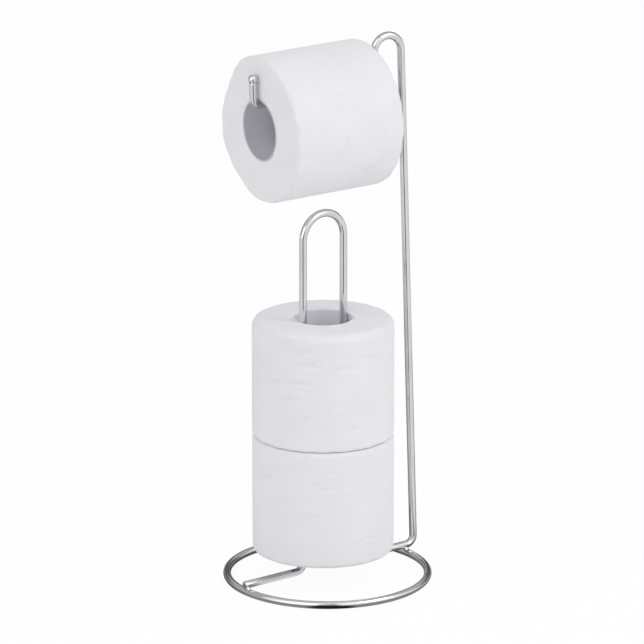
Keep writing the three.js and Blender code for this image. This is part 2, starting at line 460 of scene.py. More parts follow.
class BentWire:
    """Centreline through corners that are rounded by arcs touching both straight runs."""

    BEND_STEP = math.radians(3)
    RUN_STEP = 4 * MM
    LEAST_STEP = 0.05 * MM
    CAP_STEPS = 6

    def __init__(self, corners: Sequence[Corner]) -> None:
        """Work out the stations of the whole wire.

        Each straight run is cut into equal steps and each bend is an arc. Along a run the side
        vector goes evenly from one corner's to the next. A station that lies closer to the one
        before than the least step is left out.

        Args:
            corners: the corners in order, of which the first and the last are the ends.
        """
        places, tangents, sides = [], [], []
        leave = corners[0].at
        for index in range(1, len(corners)):
            into = self._unit(corners[index].at - corners[index - 1].at)
            arc = self._arc(corners, index, into)
            run = arc[0][0] - leave
            count = max(2, int(np.linalg.norm(run) / self.RUN_STEP) + 2)
            share = np.linspace(0, 1, count)[:-1, None]
            places += [leave + share * run, arc[0]]
            tangents += [np.repeat(into[None], count - 1, axis=0), arc[1]]
            before, after = corners[index - 1].across, corners[index].across
            sides += [before + share * (after - before), np.repeat(after[None], len(arc[0]), 0)]
            leave = arc[0][-1]
        stations = np.vstack(places)
        keep = np.ones(len(stations), dtype=bool)
        keep[1:] = np.linalg.norm(np.diff(stations, axis=0), axis=1) > self.LEAST_STEP
        self.points = stations[keep]
        self.tangents = np.vstack(tangents)[keep]
        self.sides = np.vstack(sides)[keep]

    @staticmethod
    def _unit(vector: np.ndarray) -> np.ndarray:
        """Vector of length one."""
        return vector / np.linalg.norm(vector)

    def _arc(
        self, corners: Sequence[Corner], index: int, into: np.ndarray
    ) -> tuple[np.ndarray, np.ndarray]:
        """Points and tangents of one bend, or the wire's end point alone.

        A bend of radius r between two runs that meet at an angle t starts r tan(t / 2) short
        of the corner. At angle a it has gone r sin(a) along the first run and r (1 - cos(a))
        towards the inside of the bend.

        Args:
            corners: the corners in order.
            index: the corner to bend at.
            into: direction of the run that comes into it.

        Returns:
            Points and unit tangents, each shaped (steps, 3).
        """
        corner = corners[index]
        if index == len(corners) - 1:
            return corner.at[None], into[None]
        out_of = self._unit(corners[index + 1].at - corner.at)
        turn = math.acos(float(np.clip(into @ out_of, -1, 1)))
        start = corner.at - into * corner.radius * math.tan(turn / 2)
        inward = self._unit(out_of - into * (out_of @ into))
        angle = np.linspace(0, turn, int(turn / self.BEND_STEP) + 2)[:, None]
        points = start + corner.radius * (np.sin(angle) * into + (1 - np.cos(angle)) * inward)
        return points, np.cos(angle) * into + np.sin(angle) * inward

    def with_rounded_ends(self, radius: float, rounding: float) -> tuple[np.ndarray, ...]:
        """Stations with the extra ones that round off the edge of both cut ends.

        On the rounding the radius grows from r - e to r as e sin(f) while the station moves
        e (1 - cos(f)) away from the end.

        Args:
            radius: radius of the wire.
            rounding: radius of the rounded edge.

        Returns:
            Points, tangents, side vectors and the wire's radius at each station.
        """
        turn = np.linspace(0, QUARTER_TURN, self.CAP_STEPS)
        offset = (rounding * (1 - np.cos(turn)))[:, None]
        cap = radius - rounding + rounding * np.sin(turn)

        def capped(values: np.ndarray) -> np.ndarray:
            """Values with the first and the last repeated for the stations of the ends."""
            lead, tail = (np.tile(values[end], (self.CAP_STEPS, 1)) for end in (0, -1))
            return np.vstack((lead, values[1:-1], tail))

        points = capped(self.points)
        points[: self.CAP_STEPS] += offset * self.tangents[0]
        points[-self.CAP_STEPS :] -= offset[::-1] * self.tangents[-1]
        radii = np.concatenate((cap, np.full(len(self.points) - 2, radius), cap[::-1]))
        return points, capped(self.tangents), capped(self.sides), radii


def sweep_circle(
    points: np.ndarray, tangents: np.ndarray, sides: np.ndarray, radii: np.ndarray, count: int
) -> tuple[np.ndarray, np.ndarray]:
    """Carry a circle along a path.

    The circle at each station lies across the tangent t: its points are the station plus
    r (cos(a) s + sin(a) (t x s)), where s is the side vector made square to t.

    Args:
        points: stations of the path.
        tangents: unit tangents there.
        sides: side vectors there.
        radii: the circle's radius at each station.
        count: number of points round the circle.

    Returns:
        The grid of points, and the surface coordinates along and round the path in metres.
    """
    square = sides - tangents * np.sum(sides * tangents, axis=1, keepdims=True)
    square /= np.linalg.norm(square, axis=1, keepdims=True)
    other = np.cross(tangents, square)
    angle = np.linspace(0, FULL_TURN, count, endpoint=False)
    circle = (
        np.cos(angle)[None, :, None] * square[:, None, :]
        + np.sin(angle)[None, :, None] * other[:, None, :]
    )
    grid = points[:, None, :] + radii[:, None, None] * circle
    along = np.concatenate(((0.0,), np.cumsum(np.linalg.norm(np.diff(points, axis=0), axis=1))))
    along = np.append(along, along[-1])
    around = np.linspace(0, FULL_TURN, count + 1) * float(radii.max())
    return grid, surface_grid(along, around)


# Shader making


class Value:
    """Output of a shader node, with the arithmetic that the patterns need."""

    def __init__(self, graph: "Graph", socket: bpy.types.NodeSocket) -> None:
        """Wrap one output.

        Args:
            graph: the graph that the output belongs to.
            socket: the output.
        """
        self.graph = graph
        self.socket = socket

    def _math(self, operation: str, *terms: Union["Value", float]) -> "Value":
        """Add a Math node that works on the given terms."""
        return self.graph.node("ShaderNodeMath", {"operation": operation}, dict(enumerate(terms)))

    def __add__(self, other: Union["Value", float]) -> "Value":
        """Sum."""
        return self._math("ADD", self, other)

    __radd__ = __add__

    def __sub__(self, other: Union["Value", float]) -> "Value":
        """Difference."""
        return self._math("SUBTRACT", self, other)

    def __rsub__(self, other: float) -> "Value":
        """Difference the other way round."""
        return self._math("SUBTRACT", other, self)

    def __mul__(self, other: Union["Value", float]) -> "Value":
        """Product."""
        return self._math("MULTIPLY", self, other)

    __rmul__ = __mul__

    def __truediv__(self, other: Union["Value", float]) -> "Value":
        """Quotient."""
        return self._math("DIVIDE", self, other)

    def __pow__(self, other: float) -> "Value":
        """Power."""
        return self._math("POWER", self, other)

    def sine(self) -> "Value":
        """Sine of a value in radians."""
        return self._math("SINE", self)

    def fraction(self) -> "Value":
        """Part after the decimal point."""
        return self._math("FRACT", self)

    def size(self) -> "Value":
        """Value without its sign."""
        return self._math("ABSOLUTE", self)

    def smooth(self, low: float, high: float) -> "Value":
        """Smooth step from 0 at low to 1 at high, or the other way where high is lower.

        Args:
            low: value that becomes 0.
            high: value that becomes 1.

        Returns:
            The stepped value.
        """
        falls = low > high
        inputs = {
            "Value": self,
            "From Min": min(low, high),
            "From Max": max(low, high),
            "To Min": float(falls),
            "To Max": float(not falls),
        }
        settings = {"interpolation_type": "SMOOTHSTEP"}
        return self.graph.node("ShaderNodeMapRange", settings, inputs)


Input = Union[Value, float, Sequence[float]]


class Graph:
    """Node tree of a material or of the world, filled by one generic method."""

    NOISE_ROUGHNESS = 0.55

    def __init__(self, tree: bpy.types.NodeTree) -> None:
        """Start an empty tree.

        Args:
            tree: the node tree to clear and fill.
        """
        self.tree = tree
        tree.nodes.clear()

    def node(
        self,
        kind: str,
        settings: Optional[Mapping[str, object]] = None,
        inputs: Optional[Mapping[Union[str, int], Input]] = None,
        output: Union[str, int] = 0,
    ) -> Value:
        """Add any node.

        Args:
            kind: type name of the node.
            settings: properties of the node, set first.
            inputs: numbers or links of its sockets, by name or place.
            output: which of its outputs to return.

        Returns:
            The output, wrapped.
        """
        made = self.tree.nodes.new(kind)
        for key, value in (settings or {}).items():
            setattr(made, key, value)
        for key, value in (inputs or {}).items():
            if isinstance(value, Value):
                self.tree.links.new(value.socket, made.inputs[key])
            else:
                made.inputs[key].default_value = value
        outputs = made.outputs
        return Value(self, outputs[output] if len(outputs) else made.inputs[0])

    def mix(self, share: Input, low: Input, high: Input) -> Value:
        """Colour between two others.

        Args:
            share: 0 for the first colour and 1 for the second.
            low: first colour.
            high: second colour.

        Returns:
            The mixed colour.
        """
        settings = {"data_type": "RGBA", "clamp_factor": True}
        return self.node("ShaderNodeMix", settings, {0: share, 6: low, 7: high}, output=2)

    def noise(self, vector: Value, scale: float, detail: float = 2.0) -> Value:
        """Noise between 0 and 1.

        Args:
            vector: place to read the noise at.
            scale: repeats per unit.
            detail: octaves of finer noise.

        Returns:
            The noise value.
        """
        inputs = {
            "Vector": vector,
            "Scale": scale,
            "Detail": detail,
            "Roughness": self.NOISE_ROUGHNESS,
        }
        return self.node("ShaderNodeTexNoise", None, inputs)

    def streaks(self, vector: Value, scale: Scale, detail: float = 2.0) -> Value:
        """Noise between 0 and 1 with its own scale along each part of the vector.

        Args:
            vector: place to read the noise at.
            scale: repeats per unit along each part.
            detail: octaves of finer noise.

        Returns:
            The noise value.
        """
        settings = {"operation": "MULTIPLY"}
        stretched = self.node("ShaderNodeVectorMath", settings, {0: vector, 1: scale})
        return self.noise(stretched, 1.0, detail)

    def part(self, vector: Value, name: str) -> Value:
        """One part of a vector, by the name of its axis."""
        return self.node("ShaderNodeSeparateXYZ", None, {0: vector}, output=name)

    def wrap(self) -> Value:
        """Coordinates of the piece's own surface, in metres."""
        return self.node("ShaderNodeUVMap", {"uv_map": WRAP})

    def place(self) -> Value:
        """Place on the piece, in metres, by its Object coordinates."""
        return self.node("ShaderNodeTexCoord", output="Object")

    def attribute(self, name: str) -> Value:
        """Number that the piece's mesh holds at each point."""
        return self.node("ShaderNodeAttribute", {"attribute_name": name}, output="Fac")

    def ray(self, kind: str) -> Value:
        """One where the light path is of a kind, and zero elsewhere."""
        return self.node("ShaderNodeLightPath", output=kind)

    def along(self, direction: Value, axis: np.ndarray) -> Value:
        """How far a direction goes along an axis.

        Args:
            direction: unit vector.
            axis: unit vector to measure along.

        Returns:
            The cosine of the angle between them, which is their dot product.
        """
        inputs = {0: direction, 1: tuple(float(part) for part in axis)}
        settings = {"operation": "DOT_PRODUCT"}
        return self.node("ShaderNodeVectorMath", settings, inputs, output="Value")

    def bump(self, height: Value, strength: float, distance: float) -> Value:
        """Normal bent by a height map.

        Args:
            height: height between 0 and 1.
            strength: how much of the effect to use.
            distance: depth in metres from 0 to 1.

        Returns:
            The bent normal.
        """
        inputs = {"Height": height, "Strength": strength, "Distance": distance}
        return self.node("ShaderNodeBump", None, inputs)

    def finish(self, surface: Value, kind: str = "ShaderNodeOutputMaterial") -> None:
        """Link a shader to the tree's output."""
        self.node(kind, None, {"Surface": surface})

    def finish_surface(self, inputs: Mapping[Union[str, int], Input]) -> None:
        """Link a principled shader with the given inputs to the tree's output."""
        self.finish(self.node("ShaderNodeBsdfPrincipled", None, inputs))


def new_material(name: str) -> tuple[bpy.types.Material, Graph]:
    """Make an empty node material.

    Args:
        name: name of the material.

    Returns:
        The material and its graph.
    """
    material = bpy.data.materials.new(name)
    material.use_nodes = True
    return material, Graph(material.node_tree)


# Finishes


@dataclass(frozen=True)
class PolishedChrome:
    """Chrome plate on drawn wire: bright, faintly streaked along the draw, with fine scuffs."""

    colour: Colour = (0.74, 0.74, 0.755, 1.0)
    shade: Colour = (0.66, 0.665, 0.685, 1.0)
    edge_tint: Colour = (0.80, 0.80, 0.81, 1.0)
    least_roughness: float = 0.09
    scuff_roughness: float = 0.06
    draw_scale: Scale = (30.0, 900.0, 1.0)
    draw_relief: float = 0.6
    scuff_scale: Scale = (260.0, 700.0, 1.0)
    scuff_detail: float = 4.0
    scuff_edges: Edges = (0.45, 0.85)
    cloud_scale: float = 45.0
    cloud_edges: Edges = (0.35, 0.75)
    ripple_scale: float = 120.0
    ripple_detail: float = 1.0
    ripple_relief: float = 0.4
    relief_strength: float = 0.15
    relief_depth: float = 0.05 * MM

    def material(self) -> bpy.types.Material:
        """Build the material.

        The colour goes from plain to shade with a soft cloud, and the roughness rises where
        scuffs are. The relief is the sum of the streaks of the draw and a fine ripple.

        Returns:
            The chrome material, which reads the wrap coordinates along and round the wire.
        """
        made, graph = new_material("chrome_plate")
        wrap, place = graph.wrap(), graph.place()
        draw = graph.streaks(wrap, self.draw_scale)
        cloud = graph.noise(place, self.cloud_scale).smooth(*self.cloud_edges)
        scuff = graph.streaks(wrap, self.scuff_scale, self.scuff_detail)
        scuff = scuff.smooth(*self.scuff_edges)
        ripple = graph.noise(place, self.ripple_scale, self.ripple_detail)
        height = draw * self.draw_relief + ripple * self.ripple_relief
        inputs = {
            "Base Color": graph.mix(cloud, self.colour, self.shade),
            "Metallic": 1.0,
            "Roughness": self.least_roughness + self.scuff_roughness * scuff,
            "Specular Tint": self.edge_tint,
            "Normal": graph.bump(height, self.relief_strength, self.relief_depth),
        }
        graph.finish_surface(inputs)
        return made


@dataclass(frozen=True)
class SoftTissue:
    """Wound toilet tissue: faint embossing and creases on the side, layers on the ends."""

    # colours, shine and roughness
    colour: Colour = (0.82, 0.82, 0.85, 1.0)
    hollow: Colour = (0.76, 0.76, 0.79, 1.0)
    # Colour of the layer rings on the ends, and of the painted shade in the creases' grooves
    layer_and_painted_fold_shade: Colour = (0.72, 0.72, 0.755, 1.0)
    gloss: float = 0.25
    sheen: float = 0.12
    sheen_roughness: float = 0.5
    least_roughness: float = 0.9
    fibre_roughness: float = 0.08
    # embossed dots
    emboss_pitch: float = 4.2 * MM
    emboss_edges: Edges = (0.15, 0.9)
    emboss_wear: float = 0.10
    emboss_relief: float = 0.06
    # perforations
    sheet_length: float = 118 * MM
    perforation_edges: Edges = (0.006, 0.0015)
    perforation_shade: float = 0.10
    perforation_relief: float = 0.12
    dash_pitch: float = 3.0 * MM
    dash_edges: Edges = (-0.6, 0.2)
    # fine creases, layers, fibres and cloud
    crease_scale: Scale = (16.0, 150.0, 1.0)
    crease_edges: Edges = (0.30, 0.70)
    crease_wear: float = 0.4
    crease_relief: float = 0.40
    layer_scale: Scale = (2.2, 1700.0, 1.0)
    layer_edges: Edges = (0.40, 0.66)
    layer_share: float = 0.16
    layer_relief: float = 0.25
    fibre_scale: float = 1500.0
    fibre_detail: float = 3.0
    fibre_wear: float = 0.2
    fibre_relief: float = 0.22
    cloud_scale: float = 38.0
    cloud_edges: Edges = (0.3, 0.7)
    cloud_wear: float = 0.35
    # shares of the whole
    side_wear: float = 0.45
    # Share of painted shade in the creases' grooves, driven by the mesh value fold
    painted_fold_shade: float = 0.55
    relief_strength: float = 0.55
    relief_depth: float = 0.35 * MM

    def material(self) -> bpy.types.Material:
        """Build the material.

        The embossing is the product of two sines crossing at right angles. A perforation is a
        narrow band across the sheet, broken into dashes. Both fade out on the ends, where thin
        rings of noise along the radius stand for the layers. The colour goes to the hollows'
        with the sum of creases, dots, cloud and fibres, and on to the layers' shade with the
        sum of layers, perforations and folds, where folds are painted shade that darkens the
        creases' grooves by their depth.

        Returns:
            The tissue material, which reads the wrap coordinates and the values end and fold.
        """
        made, graph = new_material("soft_tissue")
        wrap, place = graph.wrap(), graph.place()
        # fold is the depth of the creases' grooves, which drives their painted shade
        end, fold = graph.attribute("end"), graph.attribute("fold")
        around, along = graph.part(wrap, "X"), graph.part(wrap, "Y")
        wave = FULL_TURN / self.emboss_pitch
        dots = ((around + along) * wave).sine() * ((around - along) * wave).sine()
        dots = dots.smooth(*self.emboss_edges)
        creases = graph.streaks(wrap, self.crease_scale)
        fibres = graph.noise(place, self.fibre_scale, self.fibre_detail)
        cloud = graph.noise(place, self.cloud_scale).smooth(*self.cloud_edges)
        layers = graph.streaks(wrap, self.layer_scale)
        band = ((around / self.sheet_length).fraction() - 0.5).size()
        dash = (along * (FULL_TURN / self.dash_pitch)).sine().smooth(*self.dash_edges)
        holes = band.smooth(*self.perforation_edges) * dash
        side = 1.0 - end
        worn = creases.smooth(*self.crease_edges) * self.crease_wear + dots * self.emboss_wear
        worn = side * worn * self.side_wear + cloud * self.cloud_wear + fibres * self.fibre_wear
        shaded = end * layers.smooth(*self.layer_edges) * self.layer_share
        # Painted shade: the creases' grooves are darkened by their depth
        shaded = shaded + side * holes * self.perforation_shade + fold * self.painted_fold_shade
        body = graph.mix(worn, self.colour, self.hollow)
        height = creases * self.crease_relief + dots * self.emboss_relief
        height = side * (height - holes * self.perforation_relief)
        height = height + end * layers * self.layer_relief + fibres * self.fibre_relief
        inputs = {
            "Base Color": graph.mix(shaded, body, self.layer_and_painted_fold_shade),
            "Roughness": self.least_roughness + self.fibre_roughness * fibres,
            "Specular IOR Level": self.gloss,
            "Sheen Weight": self.sheen,
            "Sheen Roughness": self.sheen_roughness,
            "Normal": graph.bump(height, self.relief_strength, self.relief_depth),
        }
        graph.finish_surface(inputs)
        return made


@dataclass(frozen=True)
class GreyBoard:
    """Recycled board of a roll's core: two spiral plies with a seam, and flecks of fibre."""

    name: str = "grey_board"
    colour: Colour = (0.57, 0.56, 0.62, 1.0)
    fleck: Colour = (0.53, 0.52, 0.565, 1.0)
    seam: Colour = (0.55, 0.54, 0.58, 1.0)
    # Painted light: the lighter colour over the middle of the bore, against the darker board near
    # the cut ends
    inner: Colour = (0.68, 0.67, 0.73, 1.0)
    painted_light_share: float = 1.0
    painted_light_edges: Edges = (0.50, 0.30)
    length: float = 94.5 * MM
    gloss: float = 0.3
    least_roughness: float = 0.82
    fleck_roughness: float = 0.12
    ply_width: float = 62 * MM
    ply_slope: float = 1.7
    seam_edges: Edges = (0.014, 0.004)
    seam_share: float = 0.6
    seam_relief: float = 0.8
    fleck_scale: float = 620.0
    fleck_detail: float = 4.0
    fleck_edges: Edges = (0.45, 0.75)
    fleck_share: float = 0.7
    fleck_relief: float = 0.5
    cloud_scale: float = 90.0
    cloud_share: float = 0.2
    relief_strength: float = 0.5
    relief_depth: float = 0.2 * MM

    def material(self) -> bpy.types.Material:
        """Build the material.

        The seam is where the way round plus the way along times the ply's slope, divided by
        the ply's width, is half past a whole number. The board is darker near the cut ends,
        over a fifth of the tube's length, and a lighter inner colour holds between them: a
        painted gradient of light and shade along the bore.

        Returns:
            The board material, which reads the wrap coordinates.
        """
        made, graph = new_material(self.name)
        wrap, place = graph.wrap(), graph.place()
        around, along = graph.part(wrap, "X"), graph.part(wrap, "Y")
        turn = ((around + along * self.ply_slope) / self.ply_width).fraction()
        line = (turn - 0.5).size().smooth(*self.seam_edges)
        flecks = graph.noise(place, self.fleck_scale, self.fleck_detail)
        cloud = graph.noise(place, self.cloud_scale)
        # Painted light and shade along the bore: the inner colour over the middle, the board's own
        # near the cut ends
        from_middle = ((along / self.length).fraction() - 0.5).size()
        inside = from_middle.smooth(*self.painted_light_edges) * self.painted_light_share
        flecked = flecks.smooth(*self.fleck_edges) * self.fleck_share + cloud * self.cloud_share
        grain = graph.mix(inside, graph.mix(flecked, self.colour, self.fleck), self.inner)
        height = flecks * self.fleck_relief - line * self.seam_relief
        inputs = {
            "Base Color": graph.mix(line * self.seam_share, grain, self.seam),
            "Roughness": self.least_roughness + self.fleck_roughness * flecks,
            "Specular IOR Level": self.gloss,
            "Normal": graph.bump(height, self.relief_strength, self.relief_depth),
        }
        graph.finish_surface(inputs)
        return made


# A far lighter copy of the board for the spare rolls' cores: painted light that makes up for the
# shade inside their bores
PAINTED_LIGHT_BOARD = GreyBoard(
    "painted_light_board", (0.86, 0.85, 0.91, 1.0), (0.76, 0.75, 0.80, 1.0), painted_light_share=0.0
)


# Stand


@dataclass(frozen=True)
class WeldBead:
    """Small pillow of weld metal where a spoke crosses the ring."""

    name: str
    ring_side: int
    half_x: float = 2.6 * MM
    half_y: float = 2.4 * MM
    half_z: float = 1.5 * MM
    squareness: float = 0.86
    ripple: float = 0.03
    ripples: int = 5
    ripple_phase: float = 0.7
    steps: int = 40

    def build(self, sizes: HolderSizes) -> bpy.types.Object:
        """Build the bead.

        The surface is an ellipsoid whose cosines and sines are raised to a power below one,
        which squares it off. Its level parts are multiplied by one plus a ripple, a sine of
        the turn round it that fades towards the poles as the cosine of the rise.

        Args:
            sizes: sizes of the stand.

        Returns:
            The bead's object.
        """
        rise = np.linspace(-QUARTER_TURN, QUARTER_TURN, self.steps + 2)[1:-1]
        turn = np.linspace(0, FULL_TURN, 2 * self.steps, endpoint=False)
        up, round_ = np.meshgrid(rise, turn, indexing="ij")

        def soften(values: np.ndarray) -> np.ndarray:
            """Sign of a value times its size to the squareness power."""
            return np.sign(values) * np.abs(values) ** self.squareness

        wave = np.sin(self.ripples * round_ + self.ripple_phase)
        swell = 1 + self.ripple * wave * np.cos(up)
        x = self.half_x * swell * soften(np.cos(up)) * soften(np.cos(round_))
        y = self.half_y * swell * soften(np.cos(up)) * soften(np.sin(round_))
        z = self.half_z * soften(np.sin(up))
        centre = sizes.shift + np.array(
            (self.ring_side * sizes.ring_r, 0.0, sizes.wire_d + sizes.touch_gap / 2)
        )
        points = np.stack((x, y, z), axis=2) + centre
        around = np.linspace(0, FULL_TURN * self.half_x, len(turn) + 1)
        along = np.linspace(0, HALF_TURN * self.half_z, len(rise) + 1)
        uv = surface_grid(along, around)
        return MeshMaker.from_grid(self.name, points, uv, wrap_rows=False)


@dataclass
class WireStand:
    """Base ring, the one bent wire, the ball on its tip and the two welds."""

    sizes: HolderSizes
    finish: PolishedChrome = field(default_factory=PolishedChrome)
    sides: int = 40
    ring_steps: int = 360
    end_rounding: float = 1.0 * MM
    ball_steps: int = 40
    ball_seat_r: float = 2.4 * MM
    butt_weld_angle: float = math.radians(-42)
    butt_weld_swell: float = 0.10 * MM
    butt_weld_width: float = 1.6 * MM

    def corners(self) -> list[Corner]:
        """Corners of the wire, from the front spoke's free end to the tip of the bar.

        Returns:
            The corners in order.
        """
        s = self.sizes
        spokes_side = level_direction(0.0)
        bar_side = level_direction(s.hook_turn)

        def leg_x(side: int) -> float:
            """Place of one leg's centreline along the spokes."""
            return s.loop_offset + side * s.leg_spread

        arch_z = s.loop_top - s.wire_r
        hook_end = s.hook_start + s.hook_direction * s.hook_span
        bar_end = s.bar_start + s.bar_direction * s.bar_length
        tip = bar_end + s.tip_direction * (s.bar_bend_r + s.tip_straight)
        in_plane = [
            ((-(s.ring_r + s.wire_r), s.spoke_z), 0.0),
            ((leg_x(-1), s.spoke_z), s.foot_bend_r),
            ((leg_x(-1), arch_z), s.leg_spread),
            ((leg_x(1), arch_z), s.leg_spread),
            ((leg_x(1), s.spoke_z), s.foot_bend_r),
            ((s.upright_foot_x, s.spoke_z), s.foot_bend_r),
        ]
        made = [
            Corner(np.array((x, 0.0, z)) + s.shift, radius, spokes_side)
            for (x, z), radius in in_plane
        ]
        turned = [
            (s.hook_start, s.hook_r),
            (hook_end, s.hook_r),
            (s.bar_start, s.bar_bend_r),
            (bar_end, s.bar_bend_r),
            (tip, 0.0),
        ]
        made += [Corner(at + s.shift, radius, bar_side) for at, radius in turned]
        return made

    def wire(self) -> bpy.types.Object:
        """Build the bent wire with rounded cut ends.

        Returns:
            The wire's object.
        """
        path = BentWire(self.corners())
        stations = path.with_rounded_ends(self.sizes.wire_r, self.end_rounding)
        points, uv = sweep_circle(*stations, self.sides)
        return MeshMaker.from_grid("stand_wire_chromed", points, uv, wrap_rows=False)

    def ring(self) -> bpy.types.Object:
        """Build the base ring.

        The centreline is a circle, and the wire swells a little at the butt weld that closes
        it, as the square of a cosine that reaches zero at the weld's width to either side.

        Returns:
            The ring's object.
        """
        s = self.sizes
        turn = np.linspace(0, FULL_TURN, self.ring_steps, endpoint=False)
        outward = level_circle(turn)
        tangent = np.cross(UP, outward)
        centre = s.shift + UP * s.wire_r
        away = np.abs(turned_from(turn, self.butt_weld_angle))
        share = np.clip(away * s.ring_r / self.butt_weld_width, 0, 1)
        radii = s.wire_r + self.butt_weld_swell * np.cos(share * QUARTER_TURN) ** 2
        grid, _ = sweep_circle(centre + s.ring_r * outward, tangent, outward, radii, self.sides)
        grid[..., 2] = np.maximum(grid[..., 2], 0.0)
        along = np.linspace(0, FULL_TURN * s.ring_r, self.ring_steps + 1)
        around = np.linspace(0, FULL_TURN * s.wire_r, self.sides + 1)
        uv = surface_grid(along, around)
        return MeshMaker.from_grid("base_ring_chromed", grid, uv, wrap_rows=True)

    def ball(self) -> bpy.types.Object:
        """Build the ball, which sits in the wire's rounded end with a groove round its foot.

        The outline is a circle of the ball's radius, cut where it is as wide as its seat, and
        the centre is as high over the wire's end as a chord of the wire's width lies under it.

        Returns:
            The ball's object.
        """
        s = self.sizes
        drop = math.sqrt(s.ball_r**2 - s.wire_r**2)
        centre = self.corners()[-1].at + s.tip_direction * (s.touch_gap + drop)
        low_angle = -math.acos(self.ball_seat_r / s.ball_r)
        angle = np.linspace(low_angle, QUARTER_TURN, self.ball_steps + 1)[:-1]
        turn = np.linspace(0, FULL_TURN, self.sides, endpoint=False)
        first = level_direction(s.hook_turn)
        second = np.cross(s.tip_direction, first)
        around = np.cos(turn)[:, None] * first + np.sin(turn)[:, None] * second
        radius, height = s.ball_r * np.cos(angle), s.ball_r * np.sin(angle)
        points = centre + radius[:, None, None] * around + height[:, None, None] * s.tip_direction
        up = np.append(height, height[-1])
        run = np.linspace(0, FULL_TURN * s.ball_r, self.sides + 1)
        uv = surface_grid(up, run)
        return MeshMaker.from_grid("tip_ball_chromed", points, uv, wrap_rows=False)

    def build(self) -> None:
        """Build, dress and place every piece of the stand."""
        chrome = self.finish.material()
        front = WeldBead("front_weld_chromed", -1).build(self.sizes)
        rear = WeldBead("rear_weld_chromed", 1).build(self.sizes)
        pieces = {
            "base_ring": self.ring(),
            "stand_wire": self.wire(),
            "tip_ball": self.ball(),
            "front_weld": front,
            "rear_weld": rear,
        }
        for node, piece in pieces.items():
            dress(piece, chrome, Body.STAND, node)


# Toilet rolls


@dataclass(frozen=True)
class RollPlace:
    """Where a roll is: the middle of its lower or rear face, its axis and its start angle."""

    foot: np.ndarray
    axis: np.ndarray
    start: np.ndarray

    def to_world(self, radius: np.ndarray, turn: np.ndarray, height: np.ndarray) -> np.ndarray:
        """Turn cylindrical coordinates on the roll into places.

        Args:
            radius: distances from the axis.
            turn: angles round the axis from the start direction.
            height: distances along the axis.

        Returns:
            The places, with a last dimension of three.
        """
        other = np.cross(self.axis, self.start)
        return (
            self.foot
            + (radius * np.cos(turn))[..., None] * self.start
            + (radius * np.sin(turn))[..., None] * other
            + height[..., None] * self.axis
        )


@dataclass(frozen=True)
class Crease:
    """Shallow fold in the outer sheet, at a tilt from the way round the roll."""

    turn: float
    height: float
    length: float
    width: float
    depth: float
    tilt: float


@dataclass(frozen=True)
class Flat:
    """Place round a roll that handling has pressed in, or out where the depth is negative."""

    turn: float
    spread: float
    depth: float


